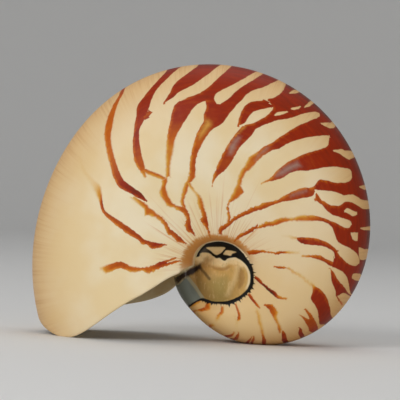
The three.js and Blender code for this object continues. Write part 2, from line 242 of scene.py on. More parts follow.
    [(0.5, -25.1, -26.2, 0.5), (0.56, -26.4, -28, 0.5), (0.6, -27.3, -29.3, 0.4), (0.63, -28.2, -31, 0.4)],
    [(0.505, -30.1, -30.5, 0.7), (0.56, -30.1, -31.4, 0.5), (0.6, -30.1, -32.3, 0.5),
     (0.62, -28, -32.7, 0.5), (0.7, -29.5, -34, 0.5), (0.8, -31.2, -35.8, 0.4), (0.92, -33, -36)],
    [(0.635, -36.8, -37.3, 0.3), (0.67, -37, -38.6, 0.1), (0.73, -38.1, -40.5, 0.1), (0.9, -40, -42, -0.3)],
    [(0.57, -44.6, -45.9, 0.5), (0.6, -44.8, -46.8, 0.2), (0.68, -46.1, -48.5, 0.1), (0.76, -47.2, -50.3),
     (1, -48.6, -51, -0.4)],
    [(0.243, -37.6, -39.6), (0.255, -34.3, -39.4, 0.3), (0.3, -34.9, -40.5, 0.7), (0.33, -36.2, -41.4, 0.9),
     (0.38, -40.3, -42.9, 1.1), (0.45, -42.7, -44.2, 1.1), (0.52, -44.2, -46.4, 0.9),
     (0.575, -46.4, -47.6, 1)],
    [(0.2, -46, -47, 2), (0.25, -47.3, -49.8, 1.6), (0.35, -51.8, -54, 1.5), (0.42, -53.5, -55.3, 1.4),
     (0.5, -55.5, -57.2, 1.2), (0.6, -57, -58.7, 0.4), (0.7, -58.1, -60.7, 0.2), (0.8, -59.7, -61.8, 0.2),
     (1, -60.3, -62)],
    [(0.57, -63, -64, 0.8), (0.64, -64.2, -66, 0.4), (0.76, -66.7, -68.3, 0.3), (1, -68, -69.8)],
    [(0.575, -64.6, -65.2, 0.8), (0.64, -66.4, -68, 0.4), (0.76, -69.4, -71.2, 0.1), (1, -71.5, -73.8)],
    [(0.505, -73.1, -73.9, 0.7), (0.55, -73.7, -75.5, 0.4), (0.7, -76.2, -79, 0.3), (0.82, -79.5, -83, 0.2),
     (1, -80.5, -84, 0.1)],
    [(0.52, -76.7, -77.7, 0.8), (0.6, -78.7, -81.2, 0.4), (0.65, -80, -83.5, 0.4), (0.76, -83.5, -87, 0.3),
     (1, -86, -89.3, 0.1)],
    [(0.46, -94.2, -95, 2.2), (0.55, -95.2, -98.6, 1.4), (0.6, -96.7, -100, 1.1),
     (0.75, -99.2, -101.7, 0.7), (1, -100, -103, 0.5)],
    # Spokes round the umbilicus, on the far side of it from the lip.
    [(-0.4, 30, 22, 0.5), (0, 27.2, 19.6, 0.3), (0.06, 22.4, 19, 0.2), (0.08, 20.8, 18, 0.3),
     (0.12, 17.8, 15.6, 0.4), (0.16, 15.8, 14, 0.4), (0.175, 15.4, 12.5, 0.3), (0.23, 14.6, 12.4),
     (0.26, 12.8, 11.4, 1.3), (0.3, 11.2, 10.4, 2)],
    [(0.155, 1.8, 0.6, 0.2), (0.17, 1.6, -0.2, 0.1), (0.2, 1.3, -0.9), (0.255, 0.7, -0.5, 0.4)],
    [(-0.5, -13, -18, -0.4), (0, -15.8, -21.2, -0.2), (0.03, -18.5, -21.9, -0.8), (0.15, -21.9, -25.2, -1),
     (0.24, -23.2, -26.9, -0.5), (0.26, -24.9, -27.5, 0.4), (0.305, -23.8, -25.4, 0.9)],
    [(-0.5, -40, -44), (0, -41.4, -45.1, -0.2), (0.12, -42.9, -45.3), (0.205, -43.4, -45, 0.3)],
    [(-0.5, -64.4, -67, 0.2), (0, -64.6, -67.3, 0.2), (0.2, -65.4, -68.1, 0.3), (0.25, -66, -69.6, 0.4),
     (0.272, -66.6, -70.4, 0.6), (0.285, -69.5, -70.8, 1.2)],
    [(0.28, -70.4, -71.4, 1.6), (0.33, -71.5, -72.5, 2), (0.42, -73.5, -74.3, 2.3)],
    [(-0.4, -83.5, -87.5, 0.6), (0, -84, -88, 0.6), (0.15, -85.7, -90, 0.8), (0.25, -88.7, -92, 1),
     (0.3, -90, -93, 1.4), (0.35, -90.5, -93.5, 2.2)],
    [(-0.4, -103, -110, 0.9), (0.1, -102, -110, 0.8), (0.2, -103.5, -110.5, 0.7),
     (0.24, -104.7, -111.7, 0.5), (0.3, -108.5, -113.5, 0.2), (0.36, -111.2, -115.5, 0.2),
     (0.42, -114.5, -117, 0.7), (0.5, -117.7, -119.5, 0.9), (0.7, -119.7, -122.2, 0.6),
     (1, -120, -123, 0.5)],
    [(-0.4, -118.5, -121.5, 1), (0.2, -118.5, -123.5, 1), (0.3, -121, -126, 1), (0.5, -124.5, -130, 1.1),
     (0.6, -126.2, -131.5, 1.5), (0.72, -128, -133, 2.2), (0.85, -129, -133, 2.6)],
]

# Cream gaps and islands inside the broad stripes near the venter. They have no tone.
GAPS = [
    [(0.57, 90.4, 89.2), (0.585, 91.1, 88), (0.6, 91.4, 87), (0.62, 91, 85.8), (0.65, 89.2, 84.8),
     (0.7, 85.8, 82.8), (0.75, 83.6, 81), (0.8, 82, 79.6), (0.9, 80.3, 78.1), (1, 79.7, 77.6)],
    [(0.82, 68.4, 68), (0.88, 67.9, 66.5), (1, 67, 65.6)],
    [(0.785, 62.2, 62), (0.82, 62, 61.2), (0.85, 61.9, 60.8), (1, 61.6, 60.5)],
    [(0.782, 55, 54.6), (0.8, 54.5, 53), (0.83, 54, 51.6), (0.9, 52.8, 50.8), (1, 52.6, 51.2)],
    [(0.602, 69.9, 69.5), (0.62, 69.4, 68), (0.64, 68.4, 67), (0.668, 66.4, 66)],
    [(0.7, 65.7, 65.3), (0.71, 65.5, 64.5), (0.75, 64, 63.2), (0.77, 63.5, 63.1)],
    [(0.715, 45.7, 45.4), (0.75, 45, 43.4), (0.8, 44, 40.6), (0.83, 43, 39.7), (1, 41.2, 39.3)],
    [(0.825, 30.1, 29.9), (0.85, 30, 29.2), (0.9, 29.8, 28.4), (1, 29.8, 28)],
    [(0.615, 24.3, 23.8), (0.635, 24.9, 23.1), (0.65, 24.6, 22.4), (0.69, 23, 20.9), (0.728, 21.8, 21)],
    [(0.652, 14.9, 14), (0.67, 14.7, 12.2), (0.71, 14.3, 11), (0.727, 14, 10.9)],
    [(0.758, 15.6, 15.4), (0.8, 15.5, 14.6), (1, 15.2, 13.5)],
    [(0.752, 8.2, 7.4), (0.765, 8, 5.6), (0.8, 7.6, 3.2), (0.85, 7, 2.8), (1, 6.8, 3)],
    [(0.755, -3, -3.8), (0.77, -2.7, -4.8), (0.85, -2.7, -5.7), (1, -3.6, -6)],
]

# Lighter patches inside stripes: gold ones, with tone 1, and soft grey ones, with tone 0, which
# are painted highlights.
PATCHES = [
    [(0.4, 98.6, 97.4, 1), (0.42, 98.6, 95.4, 1), (0.44, 97.6, 93.4, 1), (0.465, 96.2, 91.8, 1),
     (0.48, 95.4, 91.4, 1), (0.497, 95, 93.6, 1)],
    [(0.4, 83.4, 82.8, 1), (0.44, 82.2, 80.8, 1), (0.48, 80.2, 78.4, 1), (0.5, 79, 78, 1)],
    [(0.35, 85, 82.2), (0.38, 85, 80.8), (0.42, 83, 79.4), (0.44, 81.4, 79)],
    [(0.36, 71, 69.5), (0.39, 70.8, 68.6), (0.42, 69.4, 67), (0.45, 68, 66)],
    [(0.355, 58.2, 56.6), (0.39, 58, 53.6), (0.43, 56.4, 52), (0.49, 53.5, 49.6)],
    [(0.35, 45.6, 43.8), (0.38, 44.6, 42), (0.41, 43, 40.4), (0.44, 41.6, 39.6)],
]

# The umbilicus, as x and z in mm from the coil's axis. The pad with the dorsal wall beside it, the
# outer edge of the black film round them, and the cream islands in the film, which are painted
# highlights on the dark wall, drawn as bare nacre.
PAD_OUTLINE = [(-10.5, 5.3), (-9.5, 7), (-6.5, 7.2), (-4.8, 6.4), (-3, 5.2), (-1.5, 4.4), (0, 4.6),
               (1.5, 3.6), (2.8, 3.2), (4, 4.1), (5.5, 4.6), (8, 4.8), (10, 4), (12, 2.8), (14, 0.5),
               (15.3, -2), (15.8, -5), (15.2, -9), (13.2, -12), (10, -14.6), (6, -16.4), (2, -17.2),
               (-3, -17.2), (-7, -16), (-9, -15.6), (-11, -16.6), (-13.5, -18), (-17, -20), (-30, -26),
               (-34, -8), (-24, -2), (-14, 4)]
FILM_OUTLINE = [(-12.3, 5), (-11.2, 8), (-8, 11), (-5, 12.3), (0, 13), (5, 12.1), (9, 10.1), (12.2, 7),
                (15.2, 3), (17.1, 0), (17.7, -4), (17.6, -8), (16.4, -11.3), (13.2, -14.4), (9.5, -17.1),
                (5, -18.9), (0, -18.7), (-5, -18.4), (-8, -17.3), (-10.5, -17.2), (-13, -18.8),
                (-17, -21.2), (-31, -28), (-36, -8), (-25, 0), (-15, 5)]
ISLANDS = [
    [(-6.6, 9.8), (-2, 10.1), (2.8, 9.9), (1.6, 8.2), (0.5, 7), (-1.5, 6.1), (-3.2, 6.8), (-5, 8.4)],
    [(3.4, 8.4), (6.3, 8.2), (8.6, 7.6), (7, 7), (6.3, 6.6), (5.6, 5.7), (3.8, 6), (1.8, 6.4), (2.4, 7.5)],
]
# The grey band is black film with a painted reflection on its gloss.
GREY_BAND = [(-26, -9), (-21.5, -8.7), (-17, -5.4), (-14.3, -8.2), (-9, -16), (-12, -17.6), (-16, -20),
             (-30, -20)]
# The dark band under the lip is partly black film and partly painted shadow.
DARK_BAND = [(-25, -8), (-23.6, -5.4), (-11, 1.5), (-9, 0), (-12, -3.2), (-17, -5.6), (-21.5, -9)]

# Lines on the pad: a dark crease of painted shade, a pale line of painted highlight beside the grey
# band, a ridge, a valley and a fold.
CREASE = [(-10.7, 0.3), (-8, -2.2), (-4.6, -5.8)]
PALE_LINE = [(-16.4, -5), (-12.2, -10.2), (-8.4, -15.8)]
RIDGE = [(9.3, -0.5), (8.3, -6), (6.2, -10), (4.4, -14)]
VALLEY = [(11.2, -2.3), (12, -7), (10.8, -11)]
FOLD = [(-5, 1.6), (-2.4, -0.1), (1, -1), (3.6, -0.6), (5.6, 1)]
RIDGE_HALF_WIDTH, RIDGE_HEIGHT = 1.7, 0.6
VALLEY_HALF_WIDTH, VALLEY_DEPTH = 1.5, 0.5
FOLD_HALF_WIDTH, FOLD_DEPTH = 0.9, 0.5
UMBILICUS_REACH = 34


# Uniform cubic B-spline through a list of control values, the first of which is at start.
def smooth(values, start, step, at):
    values = np.asarray(values, dtype=float)
    place = (np.asarray(at, dtype=float) - start) / step
    i = np.clip(np.floor(place).astype(int), 1, len(values) - 3)
    u = place - i
    weights = [(1 - u) ** 3, 3 * u**3 - 6 * u**2 + 4, -3 * u**3 + 3 * u**2 + 3 * u + 1, u**3]
    return sum(w * values[i - 1 + k] for k, w in enumerate(weights)) / 6


# The same round the umbilicus, where the list closes on itself.
def smooth_round(values, turn):
    closed = [values[-1], *values, values[0], values[1]]
    return smooth(closed, -TURN_STEP, TURN_STEP, np.mod(turn, 360))


def venter_radius(turn):
    return smooth(VENTER_RADII, VENTER_FROM, TURN_STEP, turn)


def half_width(turn):
    return MOUTH_HALF_WIDTH * WIDTH_PER_TURN ** ((np.asarray(turn) - MOUTH_TURN) / 360)


# Turn angle of the lip at column s of the -Y side (side 1) or the +Y side (side -1).
def lip_turn(s, side):
    at = np.where(s < 0, s * LIP_COLUMNS_PER_WALL_COLUMN, s)
    lead = smooth(FAR_LIP_LEADS, LIP_FROM, LIP_STEP, at) if side < 0 else 0
    return smooth(LIP_TURNS, LIP_FROM, LIP_STEP, at) + lead


FOOT_TURN = float(lip_turn(np.array(-1.0), 1))
FOLD_TURN = FOOT_TURN - 360


# Foot of the umbilical wall: in the open round the umbilicus, and inside the mouth the seam
# where the chamber's wall stands on the whorl before it.
def foot(turn):
    shrink = venter_radius(turn) / venter_radius(FOLD_TURN)
    narrowing = half_width(turn) / half_width(FOLD_TURN)
    seam_radius = smooth_round(FOOT_RADII, FOLD_TURN) * shrink**SEAM_SHRINK_POWER
    seam_height = smooth_round(FOOT_HEIGHTS, FOLD_TURN) * narrowing
    in_open = turn >= FOLD_TURN
    return (np.where(in_open, smooth_round(FOOT_RADII, turn), seam_radius),
            np.where(in_open, smooth_round(FOOT_HEIGHTS, turn), seam_height))


# Radius and height above the median plane of one side of a whorl at column s, outside it
# (inset 0) or on the chamber's side of its wall.
def on_section(turn, s, inset):
    turn, s = np.broadcast_arrays(np.asarray(turn, dtype=float), np.asarray(s, dtype=float))
    foot_radius, foot_height = foot(turn - 360 if inset else turn)
    rim = np.where(turn < FOLD_TURN, foot_radius + COVERED_RIM_WIDTH, smooth_round(RIM_RADII, turn) + inset)
    venter = venter_radius(turn) - inset
    width = half_width(turn) - inset
    shoulder = SHOULDER_SHARE * half_width(turn) - inset

    widest = rim + WIDEST_SHARE * (venter - rim)
    start = rim + np.minimum(SHOULDER_ROUNDING, (widest - rim) / 2)
    fall = (width - shoulder) / (widest - rim) ** 2
    start_height = width - fall * (widest - start) ** 2

    t = s + 1
    corner = start_height - 2 * fall * (widest - start) * (start - rim)
    wall_radius = (1 - t) ** 2 * foot_radius + 2 * t * (1 - t) * rim + t**2 * start
    wall_height = (1 - t) ** 2 * foot_height + 2 * t * (1 - t) * corner + t**2 * start_height

    inner_radius = start + (widest - start) * s / INNER_FLANK_COLUMNS
    inner_height = width - fall * (widest - inner_radius) ** 2

    share = np.clip((s - INNER_FLANK_COLUMNS) / (1 - INNER_FLANK_COLUMNS), 0, 1)
    sine, cosine = np.sin(share * np.pi / 2), np.maximum(np.cos(share * np.pi / 2), 0)
    outer_radius = widest + (venter - widest) * sine ** (2 / FLANK_POWER)
    outer_height = width * cosine ** (2 / VENTER_POWER)

    on_wall, on_inner = s < 0, s < INNER_FLANK_COLUMNS
    radius = np.where(on_wall, wall_radius, np.where(on_inner, inner_radius, outer_radius))
    height = np.where(on_wall, wall_height, np.where(on_inner, inner_height, outer_height))
    return radius, height


# Points of the -Y side (side 1) or the +Y side (side -1), from their radius, their height above
# the median plane, their turn and their column. Each is x, y, z, turn and column.
def place(radius, height, turn, column, side):
    angle = np.radians(turn)
    parts = [radius * np.cos(angle), -height * side, radius * np.sin(angle), turn, column]
    return np.stack(np.broadcast_arrays(*parts), axis=-1)


def shell_point(turn, s, side, inset=0):
    radius, height = on_section(turn, s, inset)
    return place(radius, height, turn, s, side)


# A smooth closed curve through the corners of an outline.
def rounded(outline):
    corners = np.array(outline, dtype=float)
    before, after = np.roll(corners, 1, axis=0), np.roll(corners, -1, axis=0)
    beyond = np.roll(corners, -2, axis=0)
    t = (np.arange(CURVE_PIECES) / CURVE_PIECES)[None, :, None]
    a, b, c, d = (part[:, None, :] for part in (before, corners, after, beyond))
    curve = (2 * b + (c - a) * t + (2 * a - 5 * b + 4 * c - d) * t**2 + (3 * b - a - 3 * c + d) * t**3) / 2
    return curve.reshape(-1, 2)


# Distance in mm from places in the coil's plane to a line of points.
def distance_to(line, x, z):
    nearest = np.full(x.shape, np.inf)
    for (x0, z0), (x1, z1) in zip(line, line[1:]):
        run, climb = x1 - x0, z1 - z0
        share = np.clip(((x - x0) * run + (z - z0) * climb) / (run**2 + climb**2), 0, 1)
        nearest = np.minimum(nearest, np.hypot(x - x0 - share * run, z - z0 - share * climb))
    return nearest


# How far places lie inside an outline, or as a negative value outside it.
def depth_in(outline, x, z):
    curve = rounded(outline)
    closed = np.concatenate([curve, curve[:1]])
    inside = np.zeros(x.shape, dtype=bool)
    for (x0, z0), (x1, z1) in zip(closed, closed[1:]):
        if z0 != z1:
            crossed = (z0 > z) != (z1 > z)
            inside ^= crossed & (x < x0 + (z - z0) * (x1 - x0) / (z1 - z0))
    return np.where(inside, 1, -1) * distance_to(closed, x, z)


# How far a ridge, a valley and a fold raise the pad.
def pad_relief(x, z):
    ridge = RIDGE_HEIGHT * np.exp(-((distance_to(RIDGE, x, z) / RIDGE_HALF_WIDTH) ** 2))
    valley = VALLEY_DEPTH * np.exp(-((distance_to(VALLEY, x, z) / VALLEY_HALF_WIDTH) ** 2))
    fold = FOLD_DEPTH * np.exp(-((distance_to(FOLD, x, z) / FOLD_HALF_WIDTH) ** 2))
    return ridge - valley - fold


def callus_point(turn, share, side):
    foot_radius, foot_height = foot(turn)
    radius = foot_radius * share
    x = radius * np.cos(np.radians(turn))
    z = radius * np.sin(np.radians(turn))
    reach = 1 - ((x - CALLUS_X) / CALLUS_HALF_LENGTH) ** 2 - ((z - CALLUS_Z) / CALLUS_HALF_BREADTH) ** 2
    swell = CALLUS_RISE * np.maximum(0, reach) ** CALLUS_POWER
    facing = np.maximum(0, np.cos(np.radians(turn - GROOVE_TURN)))
    groove = GROOVE_DEPTH * facing * np.exp(-(((radius - GROOVE_RADIUS) / GROOVE_HALF_WIDTH) ** 2))
    groove = groove - pad_relief(x, z)
    free = 1 - share**CALLUS_EDGE_POWER
    height = CALLUS_MIDDLE_HEIGHT + (foot_height - CALLUS_MIDDLE_HEIGHT) * share**2
    return place(radius, height + free * (swell - groove), turn, share - 2, side)


def steps(n):
    return np.arange(n + 1) / n


COLUMNS = np.concatenate([steps(WALL_COLUMNS) - 1, steps(FLANK_COLUMNS)[1:]])


# How far back along the shell, as a turn, the outside and the chamber's side of its wall begin
# behind the lip, to leave room for the rounded edge. At the foot the edge runs out to nothing.
def set_back(s, side, length):
    radius, _ = on_section(lip_turn(s, side), s, 0)
    return np.degrees(length / radius)


def outer_back(side):
    return set_back(COLUMNS, side, np.where(COLUMNS == -1, 0, WALL / 2))


def chamber_back(side):
    return set_back(COLUMNS, side, np.where(COLUMNS == -1, WALL, WALL / 2))


# The sheets of one side. Each is a grid of points whose rows run out from the umbilicus.
def outer_sheet(side):
    lip = lip_turn(COLUMNS, side)
    t = steps(TURN_ROWS)[:, None]
    return shell_point((lip - 360) * (1 - t) + (lip - outer_back(side)) * t, COLUMNS, side)


def callus_sheet(side):
    turns = FOLD_TURN + 360 * steps(TURN_ROWS)[:, None]
    return callus_point(turns, steps(CALLUS_RINGS)[None, :], side)


def floor_sheet(side):
    thickness = chamber_back(side)[0]
    edge_backs = thickness * steps(LIP_ROWS)[:-1]
    deep_backs = thickness + (CHAMBER_TURN - thickness) * steps(CHAMBER_ROWS)
    backs = np.concatenate([edge_backs, deep_backs])[:, None]
    return shell_point(lip_turn(COLUMNS, side) - 360 - backs, COLUMNS, side)


def chamber_sheet(side, seam):
    lip = lip_turn(COLUMNS, side)
    t = steps(CHAMBER_ROWS)[:, None]
    turns = (lip - chamber_back(side)) * (1 - t) + (lip - CHAMBER_TURN) * t
    sheet = shell_point(turns, COLUMNS, side, WALL)
    sheet[:, 0, :3] = seam[:, :3]
    return sheet


def lip_sheet(side, outer, chamber):
    t = steps(LIP_ROWS)[:, None, None]
    angle = np.radians(lip_turn(COLUMNS, side))
    still = np.zeros_like(angle)
    forward = np.stack([-np.sin(angle), still, np.cos(angle), still, still], axis=-1)
    fullness = np.clip(COLUMNS + 1, 0, 1)
    thickness = np.linalg.norm((outer - chamber)[:, :3], axis=-1)
    bulge = (fullness * thickness / 2)[None, :, None]
    across = (1 - np.cos(np.pi * t)) / 2
    return outer * (1 - across) + chamber * across + forward * bulge * np.sin(np.pi * t)


def septum_sheet(wall, floor):
    t = steps(SEPTUM_ROWS)[:, None]
    dish = np.radians(SEPTUM_DISH_TURN * 4 * t * (1 - t) * np.sqrt((COLUMNS + 1) / 2))
    flat = wall * (1 - t[..., None]) + floor * t[..., None]
    x = flat[..., 0] * np.cos(dish) + flat[..., 2] * np.sin(dish)
    z = -flat[..., 0] * np.sin(dish) + flat[..., 2] * np.cos(dish)
    return np.concatenate([np.stack([x, flat[..., 1], z], axis=-1), flat[..., 3:]], axis=-1)


def sheets_of(side):
    outer = outer_sheet(side)
    floor = floor_sheet(side)
    chamber = chamber_sheet(side, floor[LIP_ROWS:, 0])
    lip = lip_sheet(side, outer[-1], chamber[0])
    floor[1:LIP_ROWS, 0, :3] = lip[1:LIP_ROWS, 0, :3]
    septum = septum_sheet(chamber[-1], floor[-1])
    return {
        "outer": outer, "callus": callus_sheet(side), "lip": lip,
        "chamber": chamber, "septum": septum, "floor": floor[::-1],
    }


SLOT_OF_SHEET = {"outer": 0, "callus": 0, "lip": 0, "chamber": 1, "septum": 1, "floor": 1}


# Joins the grids of both sides into one closed surface. Returns its points, its faces, the
# material slot of each face, the turn and column of each corner of each face, and whether each
# face is on the outside of a whorl.
def welded_surface():
    points, corners, slots, outside = [], [], [], []
    count = 0
    for side in (1, -1):
        for name, sheet in sheets_of(side).items():
            rows, columns = sheet.shape[:2]
            index = count + np.arange(rows * columns).reshape(rows, columns)
            quads = np.stack([index[:-1, :-1], index[:-1, 1:], index[1:, 1:], index[1:, :-1]], axis=-1)
            quads = quads.reshape(-1, 4)
            corners.append(quads if side > 0 else quads[:, ::-1])
            slots.append(np.full(len(quads), SLOT_OF_SHEET[name]))
            outside.append(np.full(len(quads), name == "outer"))
            points.append(sheet.reshape(-1, 5))
            count += rows * columns
    points, corners = np.concatenate(points), np.concatenate(corners)
    keys = np.round(points[:, :3] / MERGE_DISTANCE).astype(np.int64)
    _, first, inverse = np.unique(keys, axis=0, return_index=True, return_inverse=True)
    quads = inverse.ravel()[corners]
    growth = points[corners, 3:]
    return points[first, :3], quads, np.concatenate(slots), growth, np.concatenate(outside)


# The turn that stands the coil on its lip, as a matrix.
STAND = Matrix.Rotation(math.radians(-REST_TURN), 3, "Y")


def stand(points):
    turned = points @ np.array(STAND).T
    low, high = turned.min(axis=0), turned.max(axis=0)
    cad_low, cad_high = (np.array(corner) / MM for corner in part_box("shell"))
    shift = (cad_low[0] + cad_high[0]) / 2 - (low[0] + high[0]) / 2
    drop = low[2] + WORN_FLAT
    turned[:, 0] += shift
    turned[:, 2] = np.maximum(0, turned[:, 2] - drop)
    return turned, Vector((shift, 0, -drop))


# Monotone cubic curve through values given at rising places, level beyond its ends.
def follow(places, values, at):
    gaps = np.diff(places)
    slopes = np.diff(values) / gaps
    before, after = slopes[:-1], slopes[1:]
    same_way = before * after > 0
    total = np.where(same_way, before + after, 1)
    inner = np.where(same_way, 2 * before * after / total, 0)
    tangents = np.concatenate([slopes[:1], inner, slopes[-1:]])
    at = np.clip(at, places[0], places[-1])
    i = np.clip(np.searchsorted(places, at, side="right") - 1, 0, len(gaps) - 1)
    u = (at - places[i]) / gaps[i]
    start, end = values[i], values[i + 1]
    bend = gaps[i] * (tangents[i] * u * (1 - u) ** 2 - tangents[i + 1] * u**2 * (1 - u))
    return start + (end - start) * u**2 * (3 - 2 * u) + bend


# How far inside a marking places lie, in mm, from its edge towards the mouth, from its other edge
# and from its ends, and its tone there.
def inside_marking(marking, turn, column, mm_per_degree, mm_per_column):
    columns, starts, ends, tones = np.array([(*cut, 0)[:4] for cut in marking], dtype=float).T
    distances = []
    for edge, sign in ((starts, 1), (ends, -1)):
        at = follow(columns, edge, column)
        before, after = (follow(columns, edge, column + step) for step in (-COLUMN_STEP, COLUMN_STEP))
        slope = (after - before) / (2 * COLUMN_STEP)
        lean = np.hypot(1, slope * mm_per_degree / mm_per_column)
        distances.append(sign * (at - turn) * mm_per_degree / lean)
    past_foot = column - columns[0]
    past_top = np.where(columns[-1] < 1, columns[-1] - column, 1)
    distances.append(np.minimum(past_foot, past_top) * mm_per_column)
    distances.append(follow(columns, tones, column))
    return np.stack(distances, axis=-1)


# The same for the corners of faces, each face with the marking that its middle is deepest in or
# nearest to.
def nearest_marking(markings, places):
    middles = [values.mean(axis=1) for values in places]
    deepest = np.full(len(middles[0]), -np.inf)
    fields = np.full((*places[0].shape, 4), float(FAR))
    for marking in markings:
        depth = inside_marking(marking, *middles)[:, :3].min(axis=1)
        nearer = depth > deepest
        deepest[nearer] = depth[nearer]
        fields[nearer] = inside_marking(marking, *(values[nearer] for values in places))
    return fields


# Millimetres that a degree of turn and one column measure on the outside of the shell.
def scales(turn, column):
    radius, _ = on_section(turn, column, 0)
    near, far = (np.clip(column + step, -1, 1) for step in (-COLUMN_STEP, COLUMN_STEP))
    near_radius, near_height = on_section(turn, near, 0)
    far_radius, far_height = on_section(turn, far, 0)
    length = np.hypot(far_radius - near_radius, far_height - near_height)
    return np.radians(radius), np.maximum(length / (far - near), 1)


def store(mesh, name, domain, values):
    kind, field = ("FLOAT", "value") if values.ndim == 1 else ("FLOAT_VECTOR", "vector")
    attribute = mesh.attributes.new(name, kind, domain)
    attribute.data.foreach_set(field, values.astype(np.float32).ravel())


# Writes where each kept corner is on the shell and how far it is inside each kind of marking.
def store_markings(mesh, growth, outside, kept):
    turn, column = growth[..., 0], growth[..., 1]
    store(mesh, "turn", "CORNER", turn[kept])
    store(mesh, "column", "CORNER", column[kept])
    places = [values[outside] for values in (turn, column)]
    places += scales(*places)
    for name, markings in (("stripe", STRIPES), ("gap", GAPS), ("patch", PATCHES)):
        fields = np.full((*turn.shape, 4), float(FAR))
        fields[outside] = nearest_marking(markings, places)
        store(mesh, name, "CORNER", fields[kept][:, :3])
        if name != "gap":
            store(mesh, name + "_tone", "CORNER", fields[kept][:, 3])


# Writes each point's place on the coil, and in the umbilicus how far it is inside its outlines
# and from its lines.
def store_umbilicus(mesh, points):
    store(mesh, "coil", "POINT", points)
    near = np.hypot(points[:, 0], points[:, 2]) < UMBILICUS_REACH
    x, z = points[near, 0], points[near, 2]
    islands = np.maximum(*(depth_in(outline, x, z) for outline in ISLANDS))
    trios = {
        "edges": (depth_in(PAD_OUTLINE, x, z), depth_in(FILM_OUTLINE, x, z), islands),
        "bands": (depth_in(GREY_BAND, x, z), depth_in(DARK_BAND, x, z), -distance_to(PALE_LINE, x, z)),
        "folds": (-distance_to(CREASE, x, z), -distance_to(RIDGE, x, z), -distance_to(FOLD, x, z)),
    }
    for name, trio in trios.items():
        values = np.full(points.shape, float(FAR))
        values[near] = np.stack(trio, axis=-1)
        store(mesh, name, "POINT", values)


def build_shell():
    points, quads, slots, growth, outside = welded_surface()
    stood, offset = stand(points)
    kept = quads != np.roll(quads, 1, axis=1)
    whole = kept.sum(axis=1) >= 3
    quads, slots, growth, outside, kept = (part[whole] for part in (quads, slots, growth, outside, kept))
    mesh = bpy.data.meshes.new("nautilus_shell")
    faces = [face[keep].tolist() for face, keep in zip(quads, kept)]
    mesh.from_pydata((stood * MM).tolist(), [], faces)
    mesh.polygons.foreach_set("material_index", slots)
    store_umbilicus(mesh, points)
    store_markings(mesh, growth, outside, kept)
    mesh.shade_smooth()
    mesh.set_sharp_from_angle(angle=math.radians(SHARP_ANGLE))
    shell = bpy.data.objects.new("nautilus_shell", mesh)
    bpy.context.scene.collection.objects.link(shell)
    return shell, offset


# ---------------------------------------------------------------- materials

# A colour as a painter's hex code, made linear.
def paint(code):
    parts = [int(code[k : k + 2], 16) / 255 for k in (0, 2, 4)]
    return (*(part / 12.92 if part <= 0.04045 else ((part + 0.055) / 1.055) ** 2.4 for part in parts), 1)


CREAM = paint("f3dbab")
PALE_CREAM = paint("f8e8c6")
WARM_CREAM = paint("e8c48a")
HONEY = paint("dca65a")
PEACH = paint("d69a60")
TAN = paint("a8703a")
BRUSH = paint("d68c38")
STRIPE_TONES = [
    (0, paint("2a2012")), (0.25, paint("9c2a04")), (0.5, paint("c9650f")),
    (0.75, paint("dfa33c")), (1, paint("e8c88a")),
]
# The grey of the painted highlights inside stripes.
GREY_SHEEN = paint("a98f80")
GOLD_PATCH = paint("e2a948")
BLACK_FILM = paint("14120e")
FILM_GREY = paint("5c5448")
PAD_CREAM = paint("ebcd96")
PAD_TAN = paint("cfa45e")
PAD_OLIVE = paint("a38d50")
PAD_SHADE_BROWN = paint("a97c44")
PAD_RIM = paint("ecd5a6")
GREY_GREEN = paint("7b8075")
PALE_GREEN = paint("a39f82")
DARK_BROWN = paint("33231a")
PEARL_TONES = [(0, paint("e4bd78")), (0.5, paint("f2d9a2")), (1, paint("f3e8d0"))]
SHEEN_TONES = [(0, paint("efdcb0")), (0.35, paint("dcc285")), (0.7, paint("c4bb92")), (1, paint("d0a08c"))]

# Where a tint comes in: the value at which it starts, the value at which it is full and, where that
# isn't 1, its share then. The values are columns, turns or mm, and levels of noise from 0 to 1.
CLOUD_LEVELS = (0.35, 0.65)
WARM_COLUMNS = (0.25, 0.95)
OLD_TURNS = (110, -60)
OLD_WARMTH = 0.8
HONEY_COLUMNS = (0.35, 1, 0.9)
OLDEST_TURNS = (-70, -125, 0.7)
STREAK_LEVELS = (0.35, 0.7)
PEACH_COLUMNS = (0.5, 1.1)
PEACH_SHARE, PEACH_STREAK_SHARE = 0.35, 0.5
TAN_COLUMNS = (0.62, 0.95)
TAN_LEVELS = (0.5, 0.8, 0.55)

# The brush-like tint: its bristles per degree and per column, the column that they reach at no
# noise and how much further at full noise, how far they fade and where the tint lies.
BRISTLES_PER_DEGREE, BRISTLES_PER_COLUMN = 0.42, 2
BRISTLE_ROOT, BRISTLE_REACH, BRISTLE_FADE = -0.44, 1.15, 0.45
BRUSH_SHARE = 0.9
BRUSH_COLUMNS = (-0.97, -0.8)
BRUSH_TURNS = (0, 45)
BRUSH_LAST_TURNS = (195, 168)

# Stripes: the hairs along their edges, how ragged and how soft an edge is by tone and column, and
# in which mm the fringe towards the mouth lies. A stripe's ends reach a little into its neighbours.
HAIRS_PER_DEGREE, HAIRS_PER_COLUMN = 0.12, 30
HAIR_SCALE, HAIR_DETAIL = 2.2, 4
RAGGED_TONES = (-0.2, 0.7, 0.5)
RAGGED_COLUMNS = (0.55, 0.1, 0.8)
FAR_EDGE_RAGGEDNESS = 0.6
END_OVERLAP = 0.8
EDGE_SOFTNESS = 0.22
SOFT_TONES = (0.2, 2, 0.7)
FADING_TONES = (3, 1.6)
GAP_EDGE = (0.25, -0.25)
FRINGE_MM = (1.8, 0.1, 1.3)
FRINGE_HAIRS = (-0.45, 0.3)
FRINGE_COLUMNS = (0.85, 0.3)
DEEP_COLUMNS = (0.45, 1)
DEEP_TURNS = (140, 20, -0.3)
TONE_STEP = 0.25
PATCH_MM = (-0.8, 3.2, 0.85)

